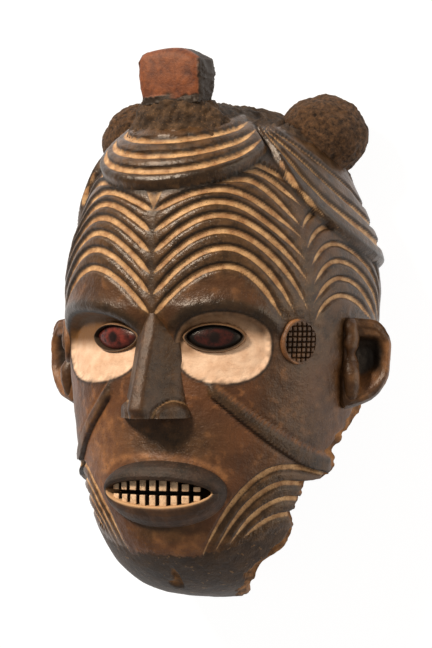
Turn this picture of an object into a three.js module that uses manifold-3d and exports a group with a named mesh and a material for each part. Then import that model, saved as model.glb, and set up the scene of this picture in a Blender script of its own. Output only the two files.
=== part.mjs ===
// A carved wooden helmet-style face mask with ridged hair, painted eye panels, a crest block
// and two crusted hair knobs. It lies on its open back rim, face up, with the crown toward +Y.
// Millimetres. Places on the head are given as a turn (degrees from the face's centre line,
// positive toward +X) and a height (millimetres up the face from the design centre).
import * as THREE from "three";
import { mergeVertices } from "three/addons/utils/BufferGeometryUtils.js";
import ManifoldModule from "manifold-3d";

const kit = await ManifoldModule();
kit.setup();

// Head form
const HALF_WIDTH = 104;
const CENTRE_HEIGHT = 20;
const CROWN_RISE = 119;
const CHIN_DROP = 197;
const FACE_DEPTH = 98;
const BROW_STEP = 6;
const WALL = 14;
const RIM_BEHIND = 45;
const SECTION_ROUNDNESS = 2.15;

// Hair carving
const GROOVE_WIDTH = 5;
const GROOVE_DEPTH = 2.4;
const LOBE_LIFT = 4.5;
const FOREHEAD_GROOVES = 7;
const SIDE_GROOVES = 5;
const VISOR_GROOVES = 3;
const LOBE_GROOVES = 3;

// Face carving
const EYE_TURN = 19.5;
const EYE_HEIGHT = -8.5;
const MOUTH_HEIGHT = -105;
const TEETH_PER_ROW = 9;

// Crest and knobs
const BLOCK = { width: 46, rise: 35, depth: 29, base: 139, forward: 68 };
const KNOB_RADIUS = 27;
const KNOB = { out: 67, up: 124, forward: -14 };
const SEAT_GAP = 0.3;

const radians = THREE.MathUtils.degToRad;
const mix = THREE.MathUtils.lerp;
const smooth = THREE.MathUtils.smoothstep;
const bump = (value, width) => Math.exp(-((value / width) ** 2));

// Closed-curve profile: 1 at the middle, falling to 0 at reach 1.
function profile(reach, roundness) {
  return Math.max(1 - Math.abs(reach) ** roundness, 0) ** (1 / roundness);
}

// Soft swellings of the face: the muzzle, the chin and the cheeks.
function swelling(turn, height) {
  const muzzle = 7 * bump(turn, 30) * bump(height + 106, 30);
  const chin = 7 * bump(turn, 30) * bump(height + 143, 20);
  return muzzle + chin;
}

// A point on the head, lifted off the bare wood by lift.
function headPoint(turn, height, lift = 0) {
  const above = height > CENTRE_HEIGHT;
  const rise = above ? CROWN_RISE : CHIN_DROP;
  const reach = THREE.MathUtils.clamp((height - CENTRE_HEIGHT) / rise, -1, 1);
  const grown = lift + swelling(turn, height);
  const taper = above ? 1 - 0.045 * bump(height - 78, 28) : 1 + 0.11 * reach;
  const wide = (HALF_WIDTH + grown) * taper * profile(reach, above ? 2.05 : 3.3);
  const depth = FACE_DEPTH + BROW_STEP * smooth(height, -6, 12);
  const deep = (depth + grown) * profile(reach, above ? 3.2 : 4);
  const side = Math.sin(radians(turn));
  const front = Math.cos(radians(turn));
  const power = 2 / SECTION_ROUNDNESS;
  return new THREE.Vector3(
    wide * Math.sign(side) * Math.abs(side) ** power * (front < 0 ? 1 - 0.35 * front ** 2 : 1),
    CENTRE_HEIGHT + reach * (rise + lift),
    (front > 0 ? deep : wide) * Math.sign(front) * Math.abs(front) ** power,
  );
}

function solidFrom(points, faces) {
  const geometry = new THREE.BufferGeometry();
  geometry.setAttribute("position", new THREE.Float32BufferAttribute(points.flatMap((p) => p.toArray()), 3));
  geometry.setIndex(faces.flat());
  return solidOf(geometry);
}

// A closed triangle mesh as a solid, turned outward if it came inside out.
function solidOf(geometry) {
  const bare = new THREE.BufferGeometry();
  bare.setAttribute("position", geometry.getAttribute("position"));
  if (geometry.getIndex()) bare.setIndex(geometry.getIndex());
  const whole = mergeVertices(bare, 1e-3);
  const corners = whole.getAttribute("position");
  const kept = [];
  const index = whole.getIndex().array;
  for (let at = 0; at < index.length; at += 3) {
    const [a, b, c] = index.slice(at, at + 3);
    if (a !== b && b !== c && c !== a) kept.push([a, b, c]);
  }
  const corner = (i) => new THREE.Vector3().fromBufferAttribute(corners, i);
  const volume = kept.reduce((sum, [a, b, c]) => sum + corner(a).dot(corner(b).cross(corner(c))), 0);
  const outward = volume < 0 ? kept.map(([a, b, c]) => [a, c, b]) : kept;
  return new kit.Manifold(new kit.Mesh({
    numProp: 3,
    vertProperties: new Float32Array(corners.array),
    triVerts: new Uint32Array(outward.flat()),
  }));
}

// Rings of points, each ring closed, joined in order and capped at both ends.
function loft(rings) {
  const count = rings[0].length;
  const faces = [];
  for (let ring = 0; ring + 1 < rings.length; ring += 1) {
    for (let i = 0; i < count; i += 1) {
      const a = ring * count + i;
      const b = ring * count + ((i + 1) % count);
      faces.push([a, b, b + count], [a, b + count, a + count]);
    }
  }
  const last = (rings.length - 1) * count;
  for (let i = 1; i + 1 < count; i += 1) {
    faces.push([0, i + 1, i], [last, last + i, last + i + 1]);
  }
  return solidFrom(rings.flat(), faces);
}

// A patch of the head between two lifts; place(a, b) gives its turn and height.
function slab(place, inner, outer, across, along) {
  const points = [];
  const faces = [];
  for (const layer of [0, 1]) {
    for (let j = 0; j <= along; j += 1) {
      for (let i = 0; i <= across; i += 1) {
        const [turn, height] = place(i / across, j / along);
        const lift = layer ? outer(i / across, j / along) : inner(i / across, j / along);
        points.push(headPoint(turn, height, lift));
      }
    }
  }
  const at = (i, j, layer) => layer * (across + 1) * (along + 1) + j * (across + 1) + i;
  const quad = (a, b, c, d) => faces.push([a, b, c], [a, c, d]);
  for (let i = 0; i < across; i += 1) {
    for (let j = 0; j < along; j += 1) {
      quad(at(i, j, 1), at(i + 1, j, 1), at(i + 1, j + 1, 1), at(i, j + 1, 1));
      quad(at(i, j, 0), at(i, j + 1, 0), at(i + 1, j + 1, 0), at(i + 1, j, 0));
    }
    quad(at(i, 0, 0), at(i + 1, 0, 0), at(i + 1, 0, 1), at(i, 0, 1));
    quad(at(i, along, 1), at(i + 1, along, 1), at(i + 1, along, 0), at(i, along, 0));
  }
  for (let j = 0; j < along; j += 1) {
    quad(at(0, j, 1), at(0, j + 1, 1), at(0, j + 1, 0), at(0, j, 0));
    quad(at(across, j, 0), at(across, j + 1, 0), at(across, j + 1, 1), at(across, j, 1));
  }
  return solidFrom(points, faces);
}

// A section swept over the head; path(s) gives its turn and height, section its [side, up] points.
function sweepOnHead(path, section, lift, steps) {
  const rings = [];
  for (let step = 0; step <= steps; step += 1) {
    const s = step / steps;
    const here = headPoint(...path(s), lift);
    const ahead = headPoint(...path(Math.min(s + 0.02, 1)), lift);
    const behind = headPoint(...path(Math.max(s - 0.02, 0)), lift);
    const along = ahead.sub(behind).normalize();
    const up = headPoint(...path(s), lift + 4).sub(here).normalize();
    const side = new THREE.Vector3().crossVectors(along, up).normalize();
    rings.push(section.map(([out, rise]) => here.clone().addScaledVector(side, out).addScaledVector(up, rise)));
  }
  return loft(rings);
}

function groove(path, lift, steps, width = GROOVE_WIDTH, depth = GROOVE_DEPTH) {
  const over = 3;
  const half = (width / 2) * (1 + over / depth);
  return sweepOnHead(path, [[-half, over], [0, -depth], [half, over]], lift, steps);
}

function ridge(path, lift, steps, width, rise) {
  const section = [[-width / 2, -2.5], [-width / 3, rise], [width / 3, rise], [width / 2, -2.5]];
  return sweepOnHead(path, section, lift, steps);
}

// An arch of two half-parabolas from start over apex to end.
function arch(side, start, apex, end) {
  return (s) => {
    const turn = mix(start[0], end[0], s);
    const [footTurn, foot] = turn < apex[0] ? start : end;
    const away = (turn - apex[0]) / (footTurn - apex[0]);
    return [side * turn, apex[1] + (foot - apex[1]) * away ** 2];
  };
}

const union = (solids) => kit.Manifold.union(solids);
const SIDES = [-1, 1];

// The bare closed head form at a lift, as rings from the chin to the crown.
function headForm(lift, turns, chinRows, crownRows) {
  const ring = (reach) => {
    const rise = reach > 0 ? CROWN_RISE : CHIN_DROP;
    return turns.map((turn) => headPoint(turn, CENTRE_HEIGHT + reach * rise, lift));
  };
  const ease = (s) => 0.997 * (1 - (1 - s) ** 1.3);
  const chin = Array.from({ length: chinRows }, (_, i) => ring(-ease(1 - i / chinRows)));
  const crown = Array.from({ length: crownRows + 1 }, (_, i) => ring(ease(i / crownRows)));
  return loft([...chin, ...crown]);
}

function turnsAround(frontStep) {
  const turns = [];
  for (let turn = -120; turn < 120; turn += frontStep) turns.push(turn);
  for (let turn = 120; turn < 240; turn += 24) turns.push(turn);
  return turns;
}

// A lens-shaped patch: a runs from one corner to the other, b from its lower to its upper edge.
function lens(side, turn, height, half, up, down, upPower, downPower) {
  return (a, b) => {
    const along = -Math.cos(Math.PI * a);
    const open = Math.max(1 - along ** 2, 0);
    const top = height + up * open ** upPower;
    const bottom = height - down * open ** downPower;
    return [side * (turn + half * along), mix(bottom, top, b)];
  };
}

// A height above the head that is low along a lens's edges and crowned in its middle.
const crowned = (edge, middle) => (a, b) => mix(edge, middle, Math.sin(Math.PI * a) * Math.sin(Math.PI * b) ** 0.6);
const level = (lift) => () => lift;

// Visor lobe: lines that sag over the forehead, counted from the lower edge.
function visorLine(count, turn) {
  const sag = (27 - 3.3 * count) * (turn / 50) ** 2;
  return 86 + 10.2 * count + sag;
}

function visorLobe() {
  const place = (a, b) => {
    const turn = mix(-54, 54, a);
    return [turn, mix(visorLine(0, turn), 134, b)];
  };
  const lifted = (a, b) => (b === 0 ? LOBE_LIFT - 1.5 : LOBE_LIFT);
  const plate = slab(place, level(-3), lifted, 10, 2);
  const lines = Array.from({ length: VISOR_GROOVES }, (_, i) => {
    const reach = 50 - 5 * i;
    const path = (s) => {
      const turn = mix(-reach, reach, s);
      return [turn, visorLine(i + 1, turn)];
    };
    return groove(path, LOBE_LIFT, 6);
  });
  return plate.subtract(union(lines));
}

// Side lobe: lines that fall from the visor's corner, bend back over the ear and run to the rim.
function lobeLine(count, s) {
  const start = [53 + 2.6 * count, 113 + 5 * count];
  const bend = [55 + 8.4 * count, 51 + 14 * count];
  const back = [94 + 1.5 * count, 41 + 12 * count];
  if (s > 0.75) return [mix(back[0], 118, (s - 0.75) * 4), back[1] - 6 * (s - 0.75) * 4];
  const t = s / 0.75;
  const curve = (i) => start[i] * (1 - t) ** 2 + 2 * bend[i] * t * (1 - t) + back[i] * t ** 2;
  return [curve(0), curve(1)];
}

function sideLobe(side) {
  const place = (a, b) => {
    const [turn, height] = lobeLine(4.2 * b, a);
    return [side * turn, Math.min(height, 134)];
  };
  const lifted = (a, b) => (b === 0 ? LOBE_LIFT - 1.2 : LOBE_LIFT);
  const plate = slab(place, level(-3), lifted, 7, 3);
  const lines = Array.from({ length: LOBE_GROOVES }, (_, i) => {
    const path = (s) => {
      const [turn, height] = lobeLine(i + 1, mix(0.04, 1, s));
      return [side * turn, height];
    };
    return groove(path, LOBE_LIFT, 5);
  });
  return plate.subtract(union(lines));
}

// Nested arches over each half of the forehead, from the centre line to the temple.
function foreheadGroove(side, count) {
  const start = [count < 6 ? 1 : 20 + 4 * (count - 6), count < 6 ? 7 + 13 * count : 90 + 5 * (count - 6)];
  const apex = [count < 6 ? 27 : 38, 36 + 11.3 * count - 0.45 * count ** 2];
  const end = [Math.min(46 + 5 * count, 56), count < 3 ? 3 + 2.5 * count : 8 + 15 * (count - 2)];
  return groove(arch(side, start, apex, end), 0, 5);
}

// Nested arches above and behind the ear.
function earGroove(side, count) {
  const start = [59 - 0.3 * count, 1 + 11.5 * count];
  const apex = [72, 18 + 11 * count];
  const end = [91 + 5.5 * count, 4 - 2 * count];
  return groove(arch(side, start, apex, end), 0, 4);
}

// Nested scars that fan up from the chin along the jaw.
function jawGroove(side, count) {
  const start = [17 + 7 * count, -148 + 3 * count];
  const apex = [54, -86 - 10.5 * count];
  const end = [74 - 3 * count, -96 - 6 * count];
  return groove(arch(side, start, apex, end), 0, 5);
}

// Raised scar that curves from beside the nose across the cheek.
function cheekScar(side) {
  const path = (s) => {
    const turn = mix(18, 68, s);
    return [side * turn, -38 - 60 * (1 - (1 - s) ** 1.6)];
  };
  return ridge(path, 0, 6, 7, 2.4);
}

// Oval temple scar with a waffle of small grooves.
function templeDisc(side) {
  const oval = lens(side, 51, -10, 6, 14, 14, 0.5, 0.5);
  const plate = slab(oval, level(-2), level(1.8), 6, 1);
  const across = [-5, 5].map((rise) => (s) => [side * mix(46, 56, s), -10 + rise]);
  const upright = [0].map((out) => (s) => [side * (51 + out), mix(-21, 1, s)]);
  const lines = [...across, ...upright].map((path) => groove(path, 1.8, 1, 1.8, 1.4));
  return plate.subtract(union(lines));
}

function eyeSocket(side) {
  const panel = lens(side, 25, -15, 15.5, 22, 22, 0.4, 0.4);
  const floor = (a, b) => mix(-1.5, -5, b);
  return slab(panel, floor, level(12), 9, 1);
}

function eye(side) {
  const almond = (half, up, down) => lens(side, EYE_TURN, EYE_HEIGHT, half, up, down, 0.8, 0.7);
  const lid = slab(almond(12, 9, 10), level(-9), level(-0.5), 7, 1);
  const hollow = slab(almond(9.5, 6, 7), level(-4), level(8), 6, 1);
  const ball = slab(almond(9.8, 6.4, 7.4), level(-9), crowned(-4, -0.5), 5, 2);
  return lid.subtract(hollow).add(ball);
}

// Nose: rings from the bridge down to its flat base, each a blunt wedge.
function nose() {
  const rings = [];
  for (let step = 0; step <= 6; step += 1) {
    const s = step / 6;
    const height = mix(4, -58.5, s);
    const half = 6.5 + 16 * s ** 2.2;
    const front = 104 + 16.5 * s ** 0.9 - (step === 6 ? 2 : 0);
    const back = 84;
    const outline = [[1, 0], [1, 0.35], [0.8, 0.62], [0.4, 0.9], [0.16, 1]];
    const right = outline.map(([out, rise]) => new THREE.Vector3(out * half, height, mix(back, front, rise)));
    const left = right.map((p) => new THREE.Vector3(-p.x, p.y, p.z)).reverse();
    rings.push([...right, ...left]);
  }
  return loft(rings);
}

function lips() {
  const outer = lens(1, 0, MOUTH_HEIGHT, 27, 20, 21, 1.1, 0.7);
  return slab(outer, level(-4), crowned(0.5, 10), 10, 4);
}

const mouthOpening = lens(1, 0, MOUTH_HEIGHT, 24, 10.5, 10.5, 1, 0.8);

// Two rows of teeth, each tooth as tall as the opening is where it stands.
function teeth() {
  const all = [1, -1].flatMap((row) => Array.from({ length: TEETH_PER_ROW }, (_, i) => {
    const turn = (i - (TEETH_PER_ROW - 1) / 2) * 4.5;
    const tall = 10 * (1 - (turn / 24) ** 2) + 1;
    const tooth = new THREE.BoxGeometry(5.4, tall, 16);
    tooth.rotateY(radians(turn));
    const seat = headPoint(turn, MOUTH_HEIGHT + row * (tall / 2 + 0.6), -5.5);
    return solidOf(tooth.translate(seat.x, seat.y, seat.z));
  }));
  return union(all);
}

// Ear: a C-shaped rolled rim round a sunken shell, standing off the side of the head.
function ear(side) {
  const root = new THREE.Vector3(101.5, -22, 26);
  const out = new THREE.Vector3(25, 0, -14).normalize();
  const up = new THREE.Vector3(0, 1, 0);
  const face = new THREE.Vector3().crossVectors(out, up).negate();
  const at = (reach, rise, lift) => root.clone()
    .addScaledVector(out, reach)
    .addScaledVector(up, rise)
    .addScaledVector(face, lift);
  const rim = new THREE.CatmullRomCurve3([
    at(-6, 22, 0), at(8, 24, 1), at(18, 21, 1), at(20, 9, 0), at(20, -8, 0), at(16, -20, 0), at(8, -27, 0), at(-9, -31, 0),
  ]);
  const tube = new THREE.TubeGeometry(rim, 10, 5, 5, false);
  const rings = [];
  for (let ring = 0; ring <= 10; ring += 1) {
    rings.push(Array.from({ length: 5 }, (_, i) => (
      new THREE.Vector3().fromBufferAttribute(tube.getAttribute("position"), ring * 6 + i)
    )));
  }
  const shell = loft([24, 12, -4, -18, -28].map((rise, i) => {
    const reach = [8, 18, 18, 13, 4][i];
    return [at(-12, rise, -4), at(reach, rise, -4), at(reach, rise, 0), at(-12, rise, 0)];
  }));
  const bar = loft([[-2, 23], [1, 0], [-4, -27]].map(([reach, rise]) => (
    [at(-12, rise, -4), at(reach + 3, rise, -4), at(reach + 3, rise, 6), at(-12, rise, 6)]
  )));
  const whole = loft(rings).add(shell).add(bar);
  return side > 0 ? whole : whole.mirror([1, 0, 0]);
}

// Crusted mound round the foot of the crest block.
function crestMound() {
  const sizes = [[114, 36, 22], [124, 34, 21], [132, 30, 19], [BLOCK.base - SEAT_GAP, 26, 17]];
  return loft(sizes.map(([height, wide, deep]) => Array.from({ length: 12 }, (_, i) => {
    const turn = (i / 12) * 2 * Math.PI;
    const forward = BLOCK.forward - (BLOCK.base - height) * 0.3;
    return new THREE.Vector3(wide * Math.cos(turn), height, forward + deep * Math.sin(turn));
  })));
}

function crestBlock() {
  const rings = [[0, 0.92], [16, 1], [27, 1.01], [33, 0.9], [BLOCK.rise, 0.76]];
  return loft(rings.map(([rise, scale]) => Array.from({ length: 16 }, (_, i) => {
    const turn = ((i + 0.5) / 16) * 2 * Math.PI;
    const square = (value) => Math.sign(value) * Math.abs(value) ** 0.4;
    const wide = (BLOCK.width / 2) * scale * square(Math.cos(turn));
    const deep = (BLOCK.depth / 2) * scale * square(Math.sin(turn));
    return new THREE.Vector3(wide, BLOCK.base + rise, BLOCK.forward + deep);
  })));
}

// Rough knob of crusted hair on a short neck that fits the crown beneath it.
function knob(side, crown) {
  const ball = new THREE.IcosahedronGeometry(KNOB_RADIUS, 3);
  const spots = ball.getAttribute("position");
  const point = new THREE.Vector3();
  for (let i = 0; i < spots.count; i += 1) {
    point.fromBufferAttribute(spots, i);
    const lump = Math.sin(point.x * 0.21 + side) * Math.sin(point.y * 0.24 + 1) * Math.sin(point.z * 0.19 + 2);
    point.multiplyScalar(1 + 0.07 * lump).multiply(new THREE.Vector3(1.05, 0.96, 0.98));
    spots.setXYZ(i, point.x, point.y, point.z);
  }
  ball.translate(side * KNOB.out, KNOB.up, KNOB.forward);
  const neck = new THREE.CylinderGeometry(17, 22, 34, 10);
  neck.translate(0, -14, 0);
  neck.rotateZ(radians(-side * 28));
  neck.translate(side * KNOB.out, KNOB.up, KNOB.forward);
  return solidOf(ball).add(solidOf(neck)).subtract(crown);
}

// The wood that is gone: a ragged edge down the jaw, given as turn and height.
const BROKEN_EDGE = [
  [118, -44], [93, -48], [86, -60], [75, -80], [75, -97], [62, -100],
  [58, -114], [60, -138], [54, -147], [46, -155], [50, -166], [50, -176],
];

function brokenAway() {
  const edge = (b) => {
    const spot = b * (BROKEN_EDGE.length - 1);
    const from = Math.min(Math.floor(spot), BROKEN_EDGE.length - 2);
    return [0, 1].map((i) => mix(BROKEN_EDGE[from][i], BROKEN_EDGE[from + 1][i], spot - from));
  };
  const place = (a, b) => {
    const [turn, height] = edge(b);
    return [mix(turn, 150, a), height];
  };
  return slab(place, level(-45), level(14), 4, BROKEN_EDGE.length - 1);
}

// The chin's underside is gone behind a line from its right corner to the back.
function brokenChin() {
  const gone = new THREE.Shape();
  gone.moveTo(29, 21);
  [[21, 8], [13, -4], [9, -24], [-7, -50], [120, -50], [120, 21]].forEach(([x, z]) => gone.lineTo(x, z));
  const prism = new THREE.ExtrudeGeometry(gone, { depth: 60, bevelEnabled: false });
  prism.rotateX(Math.PI / 2).translate(0, -135, 0);
  return solidOf(prism);
}

function behindRim() {
  const slabBehind = new THREE.BoxGeometry(400, 500, 200);
  return solidOf(slabBehind.translate(0, 0, -RIM_BEHIND - 100));
}

function carvedBody() {
  const raised = [visorLobe(), crestMound(), nose(), lips()];
  SIDES.forEach((side) => raised.push(sideLobe(side), cheekScar(side), templeDisc(side), ear(side)));
  const grooves = SIDES.flatMap((side) => [
    ...Array.from({ length: FOREHEAD_GROOVES }, (_, i) => foreheadGroove(side, i)),
    ...Array.from({ length: SIDE_GROOVES }, (_, i) => earGroove(side, i)),
    ...Array.from({ length: 4 }, (_, i) => jawGroove(side, i)),
  ]);
  const carved = headForm(0, turnsAround(10), 12, 8)
    .subtract(union(grooves))
    .subtract(union(SIDES.map(eyeSocket)))
    .add(union([...raised, ...SIDES.map(eye)]))
    .subtract(slab(mouthOpening, level(-5), level(20), 8, 1))
    .add(teeth());
  return carved
    .subtract(headForm(-WALL, turnsAround(24), 7, 5))
    .subtract(behindRim())
    .subtract(brokenAway())
    .subtract(brokenChin());
}

// A solid as a named mesh with flat facets in its own material.
function meshOf(name, solid, color, roughness) {
  const { vertProperties, triVerts } = solid.getMesh();
  const geometry = new THREE.BufferGeometry();
  geometry.setAttribute("position", new THREE.BufferAttribute(new Float32Array(vertProperties), 3));
  geometry.setIndex(new THREE.BufferAttribute(new Uint32Array(triVerts), 1));
  const material = new THREE.MeshStandardMaterial({ color, roughness, metalness: 0, flatShading: true });
  const mesh = new THREE.Mesh(geometry, material);
  mesh.name = name;
  return mesh;
}

const crownBelow = headForm(LOBE_LIFT + 2 * SEAT_GAP, turnsAround(8), 15, 16);
const mask = new THREE.Group();
mask.name = "idoma_mask";
mask.add(
  meshOf("mask_body", carvedBody(), "#4a3022", 0.5),
  meshOf("crest_block", crestBlock(), "#8a4a24", 0.6),
  meshOf("left_knob", knob(-1, crownBelow), "#4a3323", 0.95),
  meshOf("right_knob", knob(1, crownBelow), "#4a3323", 0.95),
);

// Stand the rim on the ground with the footprint's middle at the origin.
const bounds = new THREE.Box3().setFromObject(mask);
const middle = bounds.getCenter(new THREE.Vector3());
mask.position.set(-middle.x, -middle.y, -bounds.min.z);

export default mask;
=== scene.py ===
"""Looks for a carved, smoked and painted wooden face mask with a crest and crusted hair knobs.

The mask lies face up in the row frame: +Y is the crown, +X the viewer's right, +Z the nose.
Forms are worked out in millimetres in the carver's frame, where a place on the head is a turn
(degrees from the face's centre line) and a height (millimetres), and end in metres.
"""

import math

import bmesh
import bpy
import numpy as np
from mathutils import Matrix, Vector


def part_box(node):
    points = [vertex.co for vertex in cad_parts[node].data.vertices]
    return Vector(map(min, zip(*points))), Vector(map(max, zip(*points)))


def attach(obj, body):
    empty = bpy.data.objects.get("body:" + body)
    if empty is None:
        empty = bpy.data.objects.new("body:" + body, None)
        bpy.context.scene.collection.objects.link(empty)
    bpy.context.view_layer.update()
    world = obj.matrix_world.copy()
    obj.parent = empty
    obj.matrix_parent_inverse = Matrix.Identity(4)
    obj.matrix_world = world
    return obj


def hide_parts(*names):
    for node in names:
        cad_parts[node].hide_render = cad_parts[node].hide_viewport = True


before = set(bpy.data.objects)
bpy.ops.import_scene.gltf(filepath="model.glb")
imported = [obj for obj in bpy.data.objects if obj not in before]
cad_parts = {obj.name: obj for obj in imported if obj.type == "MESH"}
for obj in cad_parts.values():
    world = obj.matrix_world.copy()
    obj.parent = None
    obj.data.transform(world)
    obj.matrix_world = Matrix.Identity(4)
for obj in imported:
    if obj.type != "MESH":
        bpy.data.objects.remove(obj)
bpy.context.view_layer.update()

MM = 0.001

# Head form
HALF_WIDTH = 104
CENTRE_HEIGHT = 20
CROWN_RISE = 119
CHIN_DROP = 197
FACE_DEPTH = 98
BROW_STEP = 6
WALL = 14
RIM_BEHIND = 45
ROUNDNESS = 2.15
CHIN_POLE = CENTRE_HEIGHT - CHIN_DROP
CROWN_POLE = CENTRE_HEIGHT + CROWN_RISE
CROWN_FROM = 100

# Carving
LOBE_LIFT = 4.5
LOBE_FROM = 52.5
VISOR_REACH = 54
FAR = 9  # millimetres that count as far from an edge
GROOVE_DEPTH = 2.1
GROOVE_HALF = 1.9
TEMPLE_TURN = 57.5
EYE_TURNS = {1: 20.4, -1: 18.2}
EYE = {"height": -8.5, "power": 0.6}
PANEL = {"height": -14.8, "up": 22.5, "down": 22.5, "power": 0.4}
MOUTH_HEIGHT = -105
TEETH_PER_ROW = 9
TOOTH_PITCH = 6.3
TOOTH_GAP = 1.7
TOOTH_DEPTH = 14
DISC_TURNS = {1: 52.2, -1: 62.5}

# Crest and knobs
BLOCK = {"width": 46, "rise": 35, "depth": 29, "base": CROWN_POLE, "forward": 68}
KNOB_RADIUS = 29.3
KNOB_PLACES = {1: (64, 122.5, -14), -1: (-67.5, 123, -14)}

# The frame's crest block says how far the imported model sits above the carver's centre.
UP_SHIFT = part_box("crest_block")[0][1] / MM - BLOCK["base"]

RANDOM = np.random.default_rng(7)


def to_row(points):
    """Carver's millimetres to metres in the row frame."""
    return (points + np.array([0, UP_SHIFT, RIM_BEHIND])) * MM


def stack(*axes):
    """Points from their three coordinates, spread to one shape."""
    return np.stack(np.broadcast_arrays(*axes), -1)


# Form of the head
def signed_power(value, power):
    return np.sign(value) * np.abs(value) ** power


def clamp01(value):
    return np.clip(value, 0, 1)


def ease(value, start, end):
    t = clamp01((value - start) / (end - start))
    return t * t * (3 - 2 * t)


def bump(value, width):
    return np.exp(-((value / width) ** 2))


def mix(low, high, t):
    return low + (high - low) * t


def profile(reach, roundness):
    return np.maximum(1 - np.abs(reach) ** roundness, 0) ** (1 / roundness)


def blot(turn, height, middle, size):
    """A soft patch on the head, whose middle and size are a turn and a height."""
    return bump(turn - middle[0], size[0]) * bump(height - middle[1], size[1])


def swelling(turn, height):
    """Soft swellings of the muzzle and the chin."""
    return 7 * (blot(turn, height, (0, -106), (30, 30)) + blot(turn, height, (0, -143), (30, 20)))


def head(turn, height, lift=0):
    """Points on the head, lifted off the bare wood by lift."""
    turn, height, lift = np.broadcast_arrays(turn, height, lift)
    above = height > CENTRE_HEIGHT
    rise = np.where(above, CROWN_RISE, CHIN_DROP)
    reach = np.clip((height - CENTRE_HEIGHT) / rise, -1, 1)
    grown = lift + swelling(turn, height)
    taper = np.where(above, 1 - 0.045 * bump(height - 78, 28), 1 + 0.11 * reach)
    across = np.where(above, profile(reach, 2.05), profile(reach, 3.3))
    wide = (HALF_WIDTH + grown) * taper * across
    depth = FACE_DEPTH + BROW_STEP * ease(height, -6, 12)
    deep = (depth + grown) * np.where(above, profile(reach, 3.2), profile(reach, 4))
    side = np.sin(np.radians(turn))
    front = np.cos(np.radians(turn))
    power = 2 / ROUNDNESS
    narrow = np.where(front < 0, 1 - 0.35 * front**2, 1)
    x = wide * signed_power(side, power) * narrow
    z = np.where(front > 0, deep, wide) * signed_power(front, power)
    y = CENTRE_HEIGHT + reach * (rise + lift)
    return stack(x, y, z)


def grain(points, size, seed=0):
    """Smooth random field from -1 to 1 whose lumps are about size millimetres across."""
    cell = np.floor(points / size)
    part = points / size - cell
    part = part * part * (3 - 2 * part)
    total = 0
    for corner in np.ndindex(2, 2, 2):
        spot = cell + np.array(corner)
        mixed = np.sin(spot @ np.array([12.9898, 78.233, 37.719]) + seed) * 43758.5453
        weight = np.prod(np.where(np.array(corner) == 1, part, 1 - part), axis=-1)
        total = total + weight * (mixed - np.floor(mixed))
    return 2 * total - 1


# Meshes made of grids
# What each point of a carved piece knows about its finish, with the value of plain wood.
FINISH = {
    "tan": FAR,  # millimetres outside the tan paint of the grooves
    "panel": FAR,  # millimetres outside the painted eye panel
    "ochre": 0,  # how far the panel is browned, partly painted shade under the brow
    "hair": 0,  # how blackened the wood is, painted shade under the nose and lip, or the pupil on an eyeball
    "beard": FAR,  # millimetres outside the blackened chin
    "lip": 0,
    "cream": 0,
    # stains, and painted shade in the grooves, hollows and gaps and under edges
    "grime": 0,
    "worn": 0,  # how much handling has polished an edge
    "rub": 0,  # how far handling has rubbed through to orange wood, or a painted highlight
    "crust": 0,
    "inside": 0,
    "raw": 0,  # broken, insect-eaten wood
}


def sheet(points, **finish):
    """One grid of a piece: rows of points with their finish."""
    return {"points": points, **finish}


def mesh_of(bm, name):
    """A new mesh from a bmesh, which is freed."""
    mesh = bpy.data.meshes.new(name)
    bm.to_mesh(mesh)
    bm.free()
    return mesh


def linked(name, data):
    """A new object on its data, linked to the scene."""
    thing = bpy.data.objects.new(name, data)
    bpy.context.collection.objects.link(thing)
    return thing


def finish_piece(name, mesh, sharp=42):
    mesh.polygons.foreach_set("use_smooth", np.ones(len(mesh.polygons), dtype=bool))
    mesh.set_sharp_from_angle(angle=math.radians(sharp))
    piece = linked(name, mesh)
    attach(piece, "root")
    return piece


def grid_piece(name, sheets, sharp=42):
    """A mesh of bmesh grids laid on the sheets' points and welded where their edges meet."""
    bm = bmesh.new()
    for part in sheets:
        rows, columns = part["points"].shape[:2]
        bmesh.ops.create_grid(bm, x_segments=columns - 1, y_segments=rows - 1, size=1)
    mesh = bpy.data.meshes.new(name)
    bm.to_mesh(mesh)
    places = np.concatenate([part["points"].reshape(-1, 3) for part in sheets])
    mesh.vertices.foreach_set("co", to_row(places).astype(np.float32).ravel())
    for field, plain in FINISH.items():
        values = [np.broadcast_to(part.get(field, plain), part["points"].shape[:2]).ravel()
                  for part in sheets]
        layer = mesh.attributes.new(field, "FLOAT", "POINT")
        layer.data.foreach_set("value", np.concatenate(values).astype(np.float32))
    bm.clear()
    bm.from_mesh(mesh)
    bmesh.ops.remove_doubles(bm, verts=bm.verts, dist=2e-6)
    bmesh.ops.recalc_face_normals(bm, faces=bm.faces)
    bm.to_mesh(mesh)
    bm.free()
    return finish_piece(name, mesh, sharp)


def dress(piece, material, slot_name, *nodes):
    piece.data.materials.append(material)
    if nodes:
        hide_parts(*nodes)


# Rows and columns of the shell, closer where it is carved, as stretches with their counts.
ROW_STRETCHES = [(-148, -128, 14), (-128, -82, 42), (-82, -62, 13), (-62, -34, 18), (-34, 6, 34),
                 (6, 98, 92), (98, 122, 18)]
FULL_TURN = 118
COLUMN_STRETCHES = [(-118, -66, 30), (-66, 0, 98), (0, 58, 94), (58, 104, 76), (104, 118, 8)]
INNER_COLUMNS = 25
WALL_COLUMNS = 7

# The jaw's broken edge as turn and height, from behind the ear down to the chin.
BROKEN_EDGE = [(118, -44), (93, -48), (86, -60), (75, -80), (75, -97), (62, -100), (58, -114), (60, -138),
               (54, -147), (47, -155), (49, -166)]
# How far raw wood reaches in from the broken edge: heights, then millimetres.
EATEN_REACH = ([-166, -158, -150, -141, -128, -105, -98, -85, -50], [24, 20, 9, 17, 5, 5, 12, 14, 17])
CHIN_BREAK_FROM = -168
CHIN_LINE_TURN = 117
CHIN_LINE_REACH = 16.4


def spaced(stretches):
    return np.concatenate([np.linspace(*stretch, endpoint=False) for stretch in stretches])


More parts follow.
